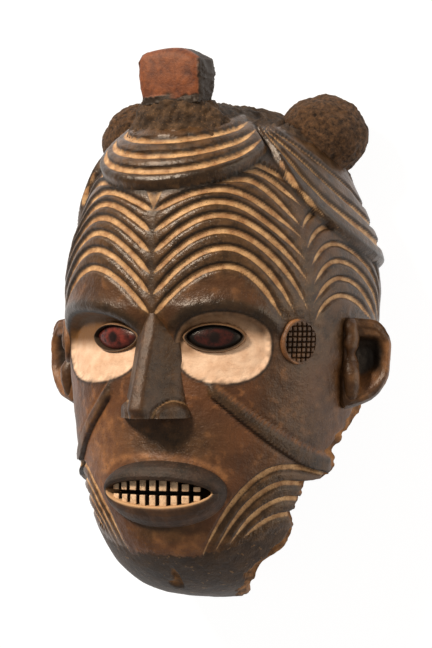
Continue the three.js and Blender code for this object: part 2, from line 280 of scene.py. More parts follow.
def head_rows(crown_close):
    """Heights of the shell's rows from the chin's pole to the crown's, one of them at crown_close."""
    low, high = ROW_STRETCHES[0][0], ROW_STRETCHES[-1][1]
    chin = CHIN_POLE + (low - CHIN_POLE) * np.linspace(0, 1, 31) ** 3.2
    crown = CROWN_POLE - (CROWN_POLE - high) * np.linspace(1, 0, 17) ** 2.6
    rows = np.concatenate([chin[:-1], spaced(ROW_STRETCHES), crown])
    rows[np.argmin(np.abs(rows - crown_close))] = crown_close
    return rows


def reach_of(heights, lift):
    return np.abs(head(90, heights, lift)[..., 0])


def height_where(reach, lift, low, high):
    """The height between low and high, on the crown, where the head is as wide as reach."""
    for _ in range(40):
        middle = (low + high) / 2
        if reach_of(np.array(middle), lift) > reach:
            low = middle
        else:
            high = middle
    return low


def limits(heights, lift, jagged):
    """The shell's left and right edges on each row, in degrees."""
    wide = np.maximum(reach_of(heights, lift), 1e-6)
    behind = np.minimum(RIM_BEHIND / wide, 1) ** (ROUNDNESS / 2)
    closed = wide <= RIM_BEHIND + 1e-3
    rim = np.degrees(np.arccos(-behind))
    rim = np.where(closed, np.where(heights > 0, 180, 400), rim)
    broken = np.interp(heights, *zip(*sorted((height, turn) for turn, height in BROKEN_EDGE)))
    gnawed = stack(0, heights, 0)
    broken = broken + jagged * (1.5 * grain(gnawed, 5, 3) + 0.8 * grain(gnawed, 2.2, 5))
    swing = np.degrees(np.arccos(np.minimum(CHIN_LINE_REACH / wide, 1)))
    low = heights < CHIN_BREAK_FROM
    broken = np.where(low, CHIN_LINE_TURN - swing, broken)
    right = np.where(heights < BROKEN_EDGE[0][1], np.minimum(broken, rim), rim)
    left = np.where(low, -np.minimum(rim, 360 - CHIN_LINE_TURN - swing), -rim)
    return left, right


def lay_out(columns, rows, lift=0, jagged=1):
    """Turn and height of every point: columns are turns on a full row, squeezed to each row's limits."""
    left, right = limits(rows, lift, jagged)
    near = 10
    padded = np.concatenate([np.full(near, right[0]), right, np.full(near, right[-1])])
    calm = np.convolve(padded, np.ones(2 * near + 1) / (2 * near + 1), mode="valid")
    calm = np.where((rows < CHIN_BREAK_FROM - 2) | (rows > -30), right, calm)
    share = np.abs(columns[None, :]) / FULL_TURN
    west = share * left[:, None]
    east = share * calm[:, None] + (right - calm)[:, None] * share**6
    turn = np.where(columns[None, :] < 0, west, east)
    return turn, np.broadcast_to(rows[:, None], turn.shape).copy()


class Patch:
    """A grid laid on the head, with distances in millimetres measured along the bare wood."""

    def __init__(self, turn, height):
        self.turn = turn
        self.height = height
        self.away = np.abs(turn)
        self.bare = head(turn, height)
        up, along = np.gradient(self.bare, axis=(0, 1))
        self.e = np.sum(along * along, -1)
        self.f = np.sum(along * up, -1)
        self.g = np.sum(up * up, -1)

    def slope(self, field):
        """How fast a field changes, per millimetre."""
        up, along = np.gradient(field)
        area = np.maximum(self.e * self.g - self.f**2, 1e-9)
        steep = (self.g * along**2 - 2 * self.f * along * up + self.e * up**2) / area
        return np.sqrt(np.maximum(steep, 1e-8))

    def reach(self, field):
        """Millimetres to the place where the field is nought."""
        return field / self.slope(field)


# Lines of the hair and the scars
def arch_height(turn, start, apex, end):
    foot = np.where(turn < apex[0], start[0], end[0])
    foot_height = np.where(turn < apex[0], start[1], end[1])
    away = (turn - apex[0]) / (foot - apex[0])
    return apex[1] + (foot_height - apex[1]) * away**2, np.abs(away)


def family_count(height_of, turn, height, low, high, rising=True):
    """Which line of a nested family runs through each place, as a smooth count."""
    bottom = np.full_like(turn, low)
    top = np.full_like(turn, high)
    for _ in range(16):
        middle = (bottom + top) / 2
        over = (height_of(turn, middle) > height) == rising
        top = np.where(over, middle, top)
        bottom = np.where(over, bottom, middle)
    return (bottom + top) / 2


def forehead_arch(count):
    start = (1, 7 + 13 * count)
    apex = (26 + 14 * ease(count, 4.6, 6.6), 36 + 12.2 * count - 0.5 * count**2)
    end_turn = np.interp(count, [-1, 0, 1, 2, 5, 6, 7, 8], [42, 46, 51, 56.5, 56.5, 58, 61, 62])
    end_height = np.interp(count, [-1, 0, 1, 2, 3, 4, 5, 6, 7, 8], [-2, 4, 7, 9, 26, 39, 54, 61, 74, 86])
    return start, apex, (end_turn, end_height)


def ear_arch(count):
    return (59 - 0.3 * count, 1 + 11.5 * count), (72, 18 + 11 * count), (91 + 5.5 * count, 4 - 2 * count)


def jaw_arch(count):
    start = (17.5 + 6 * count, -146 + 4 * count)
    return start, (50 + 2 * count, -90 - 10 * count), (74 - 3 * count, -97 - 8.5 * count)


def visor_count(turn, height):
    spread = np.minimum((turn / 50) ** 2, 1.4)
    return (height - 84 - 22 * spread) / (9.5 - 3.25 * spread)


def lobe_height(turn, count):
    start = (55 + 2.2 * count, 114 + 2.5 * count)
    bend = (55 + 8.8 * count, 69 + 9 * count)
    back = (94 + 2 * count, 41 + 12 * count)
    square = start[0] - 2 * bend[0] + back[0]
    linear = 2 * (bend[0] - start[0])
    rest = start[0] - turn
    root = np.sqrt(np.maximum(linear**2 - 4 * square * rest, 0))
    s = clamp01(-2 * rest / np.maximum(linear + root, 1e-6))
    height = start[1] * (1 - s) ** 2 + 2 * bend[1] * s * (1 - s) + back[1] * s**2
    return height + 6 * np.maximum(rest, 0) - 0.25 * np.maximum(turn - back[0], 0)


def lens(patch, turn, half, height, up, down, power):
    """Millimetres outside a lens-shaped outline, negative inside it.

    Turns bunch up at the head's poles, so far from the outline its height alone gives a least distance.
    """
    x = (patch.away - turn) / half
    rise = patch.height - height
    y = np.abs(rise) / np.where(rise > 0, up, down)
    least = np.abs(rise) - max(up, down) - 4
    return np.maximum(patch.reach(np.sqrt(x**2 + y ** (1 / power) + 1e-9) - 1), least)


def lens_line(angle, turn, height, half, up, down, power):
    """Turn and height of a place on a lens-shaped outline, at an angle round its middle."""
    rise = np.where(np.sin(angle) > 0, up, down) * signed_power(np.sin(angle), 2 * power)
    return turn + half * np.cos(angle), height + rise


class Cuts:
    """Depth of the grooves so far, the distance to their tan paint and the shade along them."""

    def __init__(self, patch):
        self.patch = patch
        self.depth = np.zeros_like(patch.turn)
        self.tan = np.full_like(patch.turn, FAR)
        self.shade = np.zeros_like(patch.turn)

    def add(self, count, first, last, strength, where, half=GROOVE_HALF, upward=1, covered=-FAR):
        """Cut the lines of a family whose counts run from first to last.

        A line is steep on its upper side, under the band above it, and eases out below. It runs in
        under what covers it, which is given as millimetres inside the cover.
        """
        nearest = np.clip(np.round(count), first, last)
        strength = strength * ease(covered, 0.6, -0.4)
        above = upward * (count - nearest) / np.maximum(self.patch.slope(count), 1e-3)
        distance = np.abs(above)
        steep = ease(distance, half + 0.9, half - 0.5)
        gentle = ease(distance, half + 2.2, 0.3)
        cut = strength * np.where(above > 0, steep, gentle)
        self.depth = np.maximum(self.depth, np.where(where, cut, 0))
        edge = distance - half * clamp01(strength) ** 0.8 + 1.5 * (strength < 0.04)
        edge = np.maximum(edge, covered + 0.9)
        self.tan = np.minimum(self.tan, np.where(where, edge, FAR))
        # Painted shade along the steep upper side of each line.
        self.shade = np.maximum(self.shade, np.where(where, strength * bump(above - half - 0.3, 0.8), 0))

    def add_arches(self, shape, spread, counts, tapers, where, half=GROOVE_HALF, upward=1, covered=-FAR):
        """Cut a nested family of arches; counts are its search range, first and last line.

        Tapers say how far along its run, to the middle and to the back, a line starts to thin out.
        """
        def height_of(turn, count):
            return arch_height(turn, *shape(count))[0]

        low, high, first, last = counts
        count = family_count(height_of, spread, self.patch.height, low, high, upward > 0)
        line = shape(np.round(count))
        run = arch_height(spread, *line)[1]
        taper = np.where(spread < line[1][0], *tapers)
        self.add(count, first, last, ease(run, 1.06, taper), where, half, upward, covered)
        return count


def scar_line(turn):
    """Height of the scar that crosses each cheek, steeper on the left."""
    right = turn > 0
    s = clamp01((np.abs(turn) - 18) / np.where(right, 54, 50))
    return -38.5 - np.where(right, 50.5, 60) * (1 - (1 - s) ** 1.5)


def hair_turn(turn, height):
    """Turns for the hair's pattern, whose left temple was cut further back than the right."""
    away = np.abs(turn)
    low = np.interp(away, [0, 26, 72, 118], [0, 26, TEMPLE_TURN, 118])
    high = np.interp(away, [0, 26, 60, 118], [0, 26, TEMPLE_TURN, 118])
    return np.where(turn > 0, away, mix(low, high, ease(height, 10, 60)))


# Carving of the shell
def carve(patch):
    """Lift of the carved surface, and its finish."""
    turn, away, height, bare = patch.turn, patch.away, patch.height, patch.bare
    visor = visor_count(turn, height)
    visor_in = patch.reach(visor)
    lobe = family_count(lobe_height, away, height, -3, 7)
    lobe_in = patch.reach(lobe)
    over_face = away < VISOR_REACH
    over_side = away > LOBE_FROM
    on_visor = (visor > 0) & over_face
    on_lobe = (lobe > 0) & over_side & ~on_visor
    free = ~(on_lobe | on_visor)
    covered = np.maximum(np.where(over_side, lobe_in, -FAR), np.where(over_face, visor_in, -FAR))
    raised = np.maximum(ease(lobe_in, -1, 3) * over_side,
                        ease(visor_in, -1.2, 3.2) * ease(away, 55, 51))
    lift = LOBE_LIFT * np.maximum(raised, ease(height, 119, 125))

    spread = hair_turn(turn, height)
    cuts = Cuts(patch)
    temple = TEMPLE_TURN + 3.5 * ease(height, 55, 75)
    cuts.add_arches(forehead_arch, spread, (-1, 9, 0, 8), (0.88, 0.6), spread < temple, covered=covered)
    side = (spread >= temple) & (height > -14) & (away < 100)
    cuts.add_arches(ear_arch, spread, (-1.5, 7, 0, 5), (0.5, 0.7), side, 1.45, covered=covered)
    on_jaw = (height < -80) & (away < 82)
    jaw = cuts.add_arches(jaw_arch, away, (-2, 3.9, 0, 3), (0.5, 0.9), on_jaw,
                          np.where(turn > 0, 1.65, 2.3), -1)
    cuts.add(visor, 1, 3, ease(away, VISOR_REACH, 38), on_visor)
    swept = ease(lobe_in, 1, 4) * ease(height, 124, 116)
    cuts.add(lobe, 1, 3, swept, on_lobe, half=mix(0.9, 2.8, ease(height, 84, 56)))
    lift = lift - GROOVE_DEPTH * cuts.depth

    # A shallow valley where the hair parts at the centre line.
    parting = bump(bare[..., 0], 3.2) * ease(height, 4, 16) * free
    lift = lift - 0.9 * parting
    lift = lift + 0.35 * grain(bare, 11, 1) + 0.12 * grain(bare, 3, 2)

    # The eye panels are cut deep under the brow and run out to the cheeks below.
    right = turn > 0
    panel = lens(patch, np.where(right, 24, 30), half=np.where(right, 17.5, 24.5), **PANEL)
    sunk = mix(1.4, 7, clamp01((height + 37) / 44) ** 1.3) * ease(-panel, -0.8, 3.6)
    brow = bump(panel - 4.5, 5) * ease(height, -12, 0)
    lift = lift - sunk + 2.2 * brow

    brow_line = arch_height(spread, *forehead_arch(np.float64(-0.1)))[0]
    hair = 0.5 + 0.5 * ease(height - brow_line, -9, 1)
    hair = np.maximum(hair, ease(panel, 10, 6) * ease(height, -30, -10))
    hair = mix(0.35 * ease(height, -60, -10), hair, ease(height, -12, 4))
    temples = ease(spread, 38, 54) * mix(0.6, 1, ease(height, -42, -4))
    cheek = 0.5 * ease(turn, 28, 46) * ease(height, -112, -92)
    # Painted shade under the nose and under the lower lip, laid in the black coat.
    painted_shade_under_nose = 0.95 * blot(turn, height, (6, -74), (19, 17))
    painted_shade_under_lip = 0.95 * blot(turn, height, (3, -131), (17, 8))
    on_bands = ease(patch.reach(jaw), -0.8, 0.8) * (height < -80)
    hair = np.maximum.reduce([hair, temples, cheek, painted_shade_under_nose, painted_shade_under_lip, on_bands])
    top = np.maximum(np.where(on_visor, ease(visor, 3.5, 4), 0), np.where(on_lobe, ease(lobe, 3.9, 4.6), 0))
    crown = np.maximum(top, ease(height, 119, 125) * ease(away, 44, 60))
    lift = lift + crown * (2 * grain(bare, 6, 7) + 1.3 * grain(bare, 2.4, 8))

    # The eye openings and the mouth's floor.
    eye_turn = np.where(right, EYE_TURNS[1], EYE_TURNS[-1])
    lift = lift - 7 * ease(-lens(patch, eye_turn, half=11.6, up=8.6, down=9.6, **EYE), -0.5, 1.5)
    opening = lens(patch, 0.5, half=22, height=MOUTH_HEIGHT, up=9.5, down=9, power=0.9)
    mouth = ease(-opening, -2.5, 1)
    lift = lift - 9 * mouth

    # The raised scar across the cheek.
    half = mix(3.2, 5, ease(away, 20, 60))
    above = patch.reach(height - scar_line(turn))
    scar = np.abs(above) - half
    scar_ends = ease(away, 17, 21) * ease(away, 76, 70)
    lift = lift + (2.3 * ease(scar, 0.9, -0.9) - 0.6 * bump(scar - 1.6, 1)) * scar_ends
    hair = np.maximum(hair, ease(scar, 0.4, -0.4) * (scar_ends > 0.3))
    # A painted highlight along the scar's upper edge; painted shadow below it, and a darker band.
    scar_highlight = 0.75 * bump(above - half - 1.1, 0.8) * scar_ends
    under_scar = (0.7 * bump(above + half + 0.9, 1) + 0.35 * ease(scar, 0.4, -0.4)) * scar_ends
    lip_edge = lens(patch, 1.5, half=26, height=MOUTH_HEIGHT, up=21, down=22, power=0.5)
    over_lip = bump(lip_edge - 1.5, 2.2) * ease(height, MOUTH_HEIGHT + 4, MOUTH_HEIGHT + 14)
    # A warmer, lighter patch on the left cheek, partly painted light.
    warm_cheek_and_painted_light = 0.85 * blot(turn, height, (-28, -74), (14, 24))

    beard = patch.reach(height + 145 - 0.4 * np.maximum(away - 17, 0))
    # Painted shade under the edges of the visor and the lobes, and a dark line round the panel.
    under_visor = bump(np.minimum(visor_in, 0), 2.6) * over_face * free
    under_lobe = bump(np.minimum(lobe_in, 0), 2.6) * (away > 50) * free
    border = 0.9 * bump(panel - 0.6, 0.9)
    red_chin = 0.8 * ease(height, -126, -138) * bump(turn - 4, 19)
    red_chin = red_chin * ease(grain(bare, 9, 6), -0.4, 0.5)
    frayed = ease(height, 54, 66) * ease(height, 106, 98) * clamp01(0.6 + 0.9 * grain(bare, 9, 15))
    lobe_edge = np.where(over_side & ~on_visor, np.abs(lobe_in - 1.1) + 1 - 2.2 * frayed, FAR)
    peak = np.maximum(np.abs(bare[..., 0]) - 0.5 * (height - 72), visor_in + 0.6)
    brow_gloss = bump(panel - 4.5, 4.5) * ease(height, -12, 2)
    stained = 0.5 * bump(panel + 1, 2.4) * clamp01(grain(bare, 2, 14) + 0.3)
    # Browner paint at the top of the panels, partly painted shade under the brow and beside the nose.
    shaded = np.maximum(0.75 * ease(height, -17, 2), 0.8 * ease(away, 17, 11) * ease(height, -24, -16))
    finish = {
        "tan": np.minimum(np.minimum(cuts.tan, lobe_edge), peak),
        "panel": panel,
        "ochre": np.where(right, shaded, ease(height, -19, -9)),
        "hair": hair,
        "beard": beard,
        # Painted shade in the grooves, the parting, the mouth's floor, under edges and below the scar; stains
        # on the panel.
        "grime": clamp01(under_visor + under_lobe + border + stained + 0.5 * parting + mouth
                         + cuts.shade + under_scar),
        "crust": crown,
        "worn": np.maximum(bump(np.minimum(np.abs(visor_in - 4), np.abs(lobe_in - 3.5)), 2.5) * ~free,
                           brow_gloss),
        "rub": clamp01(red_chin + scar_highlight + warm_cheek_and_painted_light + over_lip),
    }
    return lift, finish


def close_poles(points):
    """Draws the first and the last row of a grid together."""
    for pole in (0, -1):
        points[pole] = points[pole].mean(axis=0)


def mask_shell():
    """The carved outside, the plain inside, and the rim and broken edge between them."""
    outer_close = height_where(RIM_BEHIND, 0, CROWN_FROM, CROWN_POLE)
    inner_close = height_where(RIM_BEHIND, -WALL, CROWN_FROM, CROWN_POLE)
    rows = head_rows(outer_close)
    columns = np.concatenate([spaced(COLUMN_STRETCHES), [FULL_TURN]])
    patch = Patch(*lay_out(columns, rows))
    lift, finish = carve(patch)

    from_break = 1.7 * (patch.turn[:, -1:] - patch.turn)
    eaten = np.interp(patch.height, *EATEN_REACH) * (0.6 + 0.4 * grain(patch.bare, 9, 17))
    bitten = ease(from_break + 2.4 * grain(patch.bare, 5, 13), eaten, eaten - 1.5) * (patch.height < -46)
    chip = (blot(patch.turn, patch.height, (2, -160), (2.2, 5))
            + blot(patch.turn, patch.height, (-1, -165), (4, 2)))
    bitten = np.maximum(bitten, ease(chip, 0.35, 0.6))
    outside = head(patch.turn, patch.height, lift - (1.6 + 0.9 * grain(patch.bare, 3.4, 19)) * bitten)

    inner_rows = np.interp(rows, [CHIN_POLE, CROWN_FROM, outer_close, CROWN_POLE],
                           [CHIN_POLE, CROWN_FROM, inner_close, CROWN_POLE])
    turn, height = lay_out(np.linspace(-FULL_TURN, FULL_TURN, INNER_COLUMNS), inner_rows, -WALL)
    hewn = 0.8 * grain(head(turn, height), 16, 4)
    inside = head(turn, height, -WALL + hewn)

    for points in (outside, inside):
        points[..., 2] = np.maximum(points[..., 2], -RIM_BEHIND)
        close_poles(points)

    # Rows outside the open stretch close on themselves.
    opened = np.flatnonzero((reach_of(rows, 0) > CHIN_LINE_REACH) & (rows <= outer_close + 1e-6))
    first, last = opened[0] - 1, opened[-1]
    for points in (outside, inside):
        for closed in (slice(first + 1), slice(last, None)):
            points[closed, -1] = points[closed, 0]

    sheets = [sheet(outside, raw=bitten, **finish), sheet(inside, inside=1)]
    t = np.linspace(0, 1, WALL_COLUMNS)[None, :, None]
    for edge in (0, -1):
        wall = mix(outside[first:last + 1, None, edge], inside[first:last + 1, None, edge], t)
        broken = (wall[:, :1, 2] > -RIM_BEHIND + 0.5) * np.ones(wall.shape[:2])
        rugged = 1.7 * grain(wall, 6, 11) + 1.2 * grain(wall, 2.6, 12)
        inward = wall * np.array([1, 0, 1])
        inward = inward / np.maximum(np.linalg.norm(inward, axis=-1, keepdims=True), 1)
        tangent = np.cross(inward, [0, 1, 0])
        wall = wall + tangent * (np.sin(np.pi * t[..., 0]) * broken * rugged)[..., None]
        wall[..., 2] = np.maximum(wall[..., 2], -RIM_BEHIND)
        sheets.append(sheet(wall, raw=mix(0.3, 1, broken), inside=1))
    return grid_piece("mask_shell", sheets)


# Face pieces laid on the shell
NOSE_SECTION = [(0, 1), (0.1, 0.998), (0.19, 0.985), (0.27, 0.95), (0.34, 0.88), (0.42, 0.78),
                (0.54, 0.67), (0.9, 0.44), (1, 0.25), (1, -0.2), (0, -0.2)]
NOSE_SPOTS = [0, 0.08, 0.16, 0.24, 0.31, 0.38, 0.5, 0.7, 0.8, 0.9, 1]
NOSE_BASE_ROWS = 9


def along_section(t, section, spots=None):
    """Each coordinate of a section's line at t; its points are evenly spaced unless spots place them."""
    spots = np.linspace(0, 1, len(section)) if spots is None else spots
    return [np.interp(t, spots, values) for values in zip(*section)]


def nose():
    """A long wedge with a polished ridge, nostril wings and a flat underside."""
    length = np.linspace(-0.2, 1, 70)
    s = np.concatenate([[-0.2], length, np.ones(NOSE_BASE_ROWS)])[:, None]
    closing = np.concatenate([[0], np.ones(70), np.linspace(0.96, 0, NOSE_BASE_ROWS)])[:, None]
    a = np.linspace(-1, 1, 193)
    out, rise = along_section(np.abs(a), NOSE_SECTION, NOSE_SPOTS)
    soft = np.hanning(23) / np.hanning(23).sum()
    out, rise = (np.convolve(np.pad(line, 11, mode="edge"), soft, mode="valid")
                 for line in (np.sign(a) * out, rise))
    out[[0, -1]] = 0
    down = np.maximum(s, 0)
    half = mix(5.5, 15.5 + 7.2 * down**1.2, ease(s, -0.12, 0.1))
    front = 104 + 24.5 * down**0.95 + 30 * np.minimum(s, 0) - 4.5 * ease(s, 0.86, 1) ** 2
    x = half * out * closing
    z = mix(84, front, rise * mix(0.62, 1, closing))
    y = 4 - 62.5 * s + 1.2 * (1 - closing) * (1 - bump(np.abs(x) - 9, 4)) * (s > 0)
    points = stack(x, y, z)
    wing = np.hypot((np.abs(points[..., 0]) - 16.5) / 0.62, points[..., 1] + 61)
    low = (closing > 0.99) & (np.abs(points[..., 0]) > 5)
    outward = stack(np.sign(points[..., 0]), 0, 1)
    swell = 1.8 * ease(wing, 13.4, 10) - 0.8 * bump(wing - 14, 0.9)
    points = points + outward * (swell * low)[..., None]
    points = points + 0.2 * outward * grain(points, 8, 6)[..., None] * (closing > 0.99)[..., None]
    ridge = bump(points[..., 0] / np.maximum(half, 1), 0.2)
    crease = np.where(low & (points[..., 1] > -60), np.abs(wing - 13.2) - 0.5, FAR)
    # The flanks carry painted shade, darker away from the ridge.
    return grid_piece("nose", [sheet(points, tan=crease, hair=0.95 - 0.45 * ridge, lip=0.5 * ridge,
                                     grime=0.4 * (1 - ridge))], sharp=50)


def ring_on_head(outer, inner, section, columns, rows):
    """A closed ring between two lens outlines; the section gives its lift from outer to inner."""
    angle = np.linspace(-math.pi, math.pi, columns)[None, :]
    t = np.linspace(0, 1, rows)[:, None]
    across, lift = along_section(t, section)
    turn_out, height_out = lens_line(angle, **outer)
    turn_in, height_in = lens_line(angle, **inner)
    return mix(turn_out, turn_in, across), mix(height_out, height_in, across), lift, across, angle


LIP_SECTION = [(0, -8), (0, 0), (0.03, 1.6), (0.12, 3.6), (0.3, 6.2), (0.55, 8.2), (0.8, 9), (0.95, 8.6),
               (1, 7.2), (1.02, 4), (1.04, 0), (1.06, -8), (0, -8)]


def lips():
    outer = dict(turn=2.7, height=MOUTH_HEIGHT - 0.4, half=24.6, up=20.2, down=21.8, power=0.48)
    inner = dict(turn=1.4, height=MOUTH_HEIGHT + 0.2, half=20, up=7.8, down=8.8, power=0.6)
    turn, height, lift, across, angle = ring_on_head(outer, inner, LIP_SECTION, 220, 61)
    bare = head(turn, height)
    lift = lift * mix(0.7, 1, np.abs(np.sin(angle)) ** 0.5) + 0.15 * grain(bare, 4, 3)
    points = head(turn, height, lift)
    points[..., 1] = bare[..., 1]
    cream = ease(across, 0.86, 0.96) * ease(-np.sin(angle), -0.3, 0.2)
    rim = np.where(across < 0.03, 0, FAR)
    # The lower lip is lighter: a painted highlight.
    lower = ease(-np.sin(angle), 0.1, 0.7)
    worn = (0.5 - 0.4 * np.sin(angle)) * bump(across - 0.7, 0.2)
    return grid_piece("lips", [sheet(points, lip=mix(1, 0.72, lower), cream=cream, rub=0.5 * lower,
                                     tan=rim, worn=worn)])


def teeth():
    """Two rows of squared teeth with dark gaps."""
    wide = reach_of(np.array(MOUTH_HEIGHT), -3.5)
    bm = bmesh.new()
    grime = bm.verts.layers.float.new("grime")
    for row in (1, -1):
        for index in range(TEETH_PER_ROW):
            aside = (index - (TEETH_PER_ROW - 1) / 2) * TOOTH_PITCH + 1
            turn = math.copysign(math.degrees(math.asin(abs(aside / wide) ** (ROUNDNESS / 2))), aside)
            tall = 6.8 * (1 - (aside / 36) ** 2) + 0.4 + RANDOM.uniform(-0.5, 0.4)
            across = TOOTH_PITCH - TOOTH_GAP + RANDOM.uniform(-0.5, 0.4)
            tooth = bmesh.ops.create_cube(bm, size=1)["verts"]
            bmesh.ops.scale(bm, verts=tooth, vec=(across, tall, TOOTH_DEPTH))
            edges = {edge for vertex in tooth for edge in vertex.link_edges}
            made = bmesh.ops.bevel(bm, geom=list(edges), offset=0.6, segments=3, profile=0.5,
                                   affect="EDGES", material=-1)
            corners = list({vertex for face in made["faces"] for vertex in face.verts})
            # Painted shade on every side of a tooth but its face.
            for corner in corners:
                corner[grime] = 1 - ease(corner.co.z, TOOTH_DEPTH / 2 - 0.65, TOOTH_DEPTH / 2 - 0.2)
            turned = Matrix.Rotation(math.radians(turn), 3, "Y")
            bmesh.ops.rotate(bm, verts=corners, cent=(0, 0, 0), matrix=turned)
            spot = head(turn, MOUTH_HEIGHT, -3.5 + RANDOM.uniform(-0.4, 0.4))
            spot[1] = MOUTH_HEIGHT - 0.3 + row * (tall / 2 + 1.3)
            bmesh.ops.translate(bm, verts=corners, vec=Vector(spot.tolist()))
    for vertex in bm.verts:
        vertex.co = Vector(to_row(np.array(vertex.co)).tolist())
    return finish_piece("teeth", mesh_of(bm, "teeth"))


LID_SECTION = [(0, -9), (0, -5.6), (0.15, -4.2), (0.4, -2.4), (0.7, -1.4), (0.92, -1.5), (1.02, -2.6),
               (1.06, -4.6), (1.08, -9), (0, -9)]


def side_name(name, side):
    return f"{name}_{'right' if side > 0 else 'left'}"


def side_piece(name, side, sheets, sharp=42):
    """A piece of one side of the face, from sheets laid out for the right."""
    for part in sheets:
        part["points"] = part["points"] * np.array([side, 1, 1])
    return grid_piece(side_name(name, side), sheets, sharp)


def eyelid(side):
    outer, inner = (dict(EYE, turn=EYE_TURNS[side], half=half, up=up, down=down)
                    for half, up, down in ((12.2, 9.2, 10.4), (10.6, 7.6, 8.5)))
    turn, height, lift, across, _ = ring_on_head(outer, inner, LID_SECTION, 140, 37)
    # Darker towards the opening.
    grime = 0.95 * ease(across, 0.6, 0.9)
    return side_piece("eyelid", side, [sheet(head(turn, height, lift), panel=-2, ochre=0.85, grime=grime)])


def eyeball(side):
    """The painted ball behind the lids, a crowned lens closed behind."""
    angle = np.linspace(-math.pi, math.pi, 97)[None, :]
    t = np.linspace(0, 1, 41)[:, None]
    middle = EYE_TURNS[side]
    turn, height = lens_line(angle, middle, **EYE, half=11.4, up=8.4, down=9.3)
    behind = t > 0.8
    reach = np.sin(0.5 * np.pi * np.minimum(t * 1.25, 1))
    shrink = np.where(behind, 1 - (t - 0.8) / 0.2, reach)
    crown = mix(-6.2, -1.7, profile(reach, 2))
    lift = np.where(behind, mix(-6.2, -12, (t - 0.8) / 0.2), crown)
    turn = mix(middle, turn, shrink)
    height = mix(EYE["height"], height, shrink)
    from_middle = np.hypot((turn - middle) * 1.72, height - EYE["height"])
    pupil = 0.9 * ease(from_middle, 4.8, 2.4)
    # Painted shade at each ball's rim, and over the whole right ball.
    shaded = 0.68 if side > 0 else 0
    grime = 0.8 * ease(shrink, 0.5, 0.95) + shaded
    return side_piece("eyeball", side, [sheet(head(turn, height, lift), hair=pupil, grime=grime)])


def temple_disc(side):
    """An oval boss cut into a waffle of small squares."""
    middle, height_middle = DISC_TURNS[side], -10.9
    angle = np.linspace(-math.pi, math.pi, 181)[None, :]
    t = np.concatenate([np.linspace(0, 1, 46), [1, 0]])[:, None]
    turn, height = lens_line(angle, middle, height_middle, 7.4, 14.2, 14.2, 0.5)
    turn = mix(middle, turn, t)
    height = mix(height_middle, height, t)
    across = (turn - middle) * 1.72
    squares = np.zeros_like(across)
    for way, pitch in ((across - 1.2, 3.3), (height - height_middle, 3.25)):
        squares = np.maximum(squares, bump((way / pitch - np.round(way / pitch)) * pitch, 0.36))
    inner = np.hypot((across - 1.2) / 11.2, (height - height_middle) / 12.6)
    squares = squares * ease(inner, 1, 0.94)
    lift = 2.4 * profile(1 - clamp01((1 - t) * 5), 2) + 1.2 * ease(inner, 1, 1.08) - 1.9 * squares
    lift[-2:] = -2
    # A painted highlight on the rim's left side, and painted shade in the cuts between the squares.
    rub = 0.75 * ease(across, 1, -2) * ease(inner, 1, 1.05)
    return side_piece("temple_disc", side,
                      [sheet(head(turn, height, lift), hair=0.7, grime=0.75 * squares, rub=rub)], sharp=60)


# Ears
EAR_ROOT = np.array([101.5, -22, 26])
EAR_OUT = np.array([25, 0, -14]) / math.hypot(25, 14)
EAR_UP = np.array([0, 1, 0])
EAR_FACE = np.cross(EAR_OUT, EAR_UP)
EAR_MIDDLE = np.array([10, -2])
EAR_OUTLINE = [(-3, 26), (7.7, 25.4), (16.4, 23.9), (21.9, 18.8), (25.1, 12), (25.4, 3.7), (24.6, -8),
               (21.5, -16.5), (15.5, -24), (5, -29.5), (-5, -31), (-7, -20), (-6, -2), (-5, 16)]
EAR_BOWL = [(0, -8), (0.32, -7.5), (0.5, -4), (0.68, 1), (0.82, 3.4), (0.92, 3), (1, 0), (1, -4),
            (0.8, -9), (0, -11)]
EAR_BAR = [(-1, 24, -1), (0, 19, 2.5), (0.5, 12, 3), (0, 5, 3), (-0.5, -2, 0.5), (0, -9, 3), (0.5, -17, 3),
           (0, -26, -1)]


def ear_at(reach, rise, lift):
    """A place on the ear: out from the head, up, and toward the face."""
    reach, rise, lift = (np.asarray(value, dtype=float)[..., None] for value in (reach, rise, lift))
    return EAR_ROOT + EAR_OUT * reach + EAR_UP * rise + EAR_FACE * lift


def smooth_line(points, count):
    """A smooth line through the points, evenly sampled."""
    points = np.asarray(points, dtype=float)
    last = len(points) - 1
    spots = np.linspace(0, last, count)
    knot = np.clip(np.floor(spots).astype(int), 0, last - 1)
    t = (spots - knot)[:, None]
    a, b, c, d = (points[np.clip(knot + shift, 0, last)] for shift in (-1, 0, 1, 2))
    bent = (2 * a - 5 * b + 4 * c - d) * t**2 + (3 * b - a - 3 * c + d) * t**3
    return 0.5 * (2 * b + (c - a) * t + bent)


def roll(path, radius, sides=24):
    """A round bar of varying radius along a path in the plane of the ear, closed at both ends."""
    along = np.gradient(path, axis=0)
    along /= np.linalg.norm(along, axis=1, keepdims=True)
    out = np.cross(along, EAR_FACE)
    out /= np.linalg.norm(out, axis=1, keepdims=True)
    up = np.cross(out, along)
    angle = np.linspace(0, 2 * math.pi, sides + 1)[None, :, None]
    ends = np.sqrt(np.maximum(1 - (2 * np.linspace(0, 1, len(path)) - 1) ** 16, 0))
    ring = out[:, None] * np.cos(angle) + up[:, None] * np.sin(angle)
    return path[:, None] + ring * (radius * ends)[:, None, None]


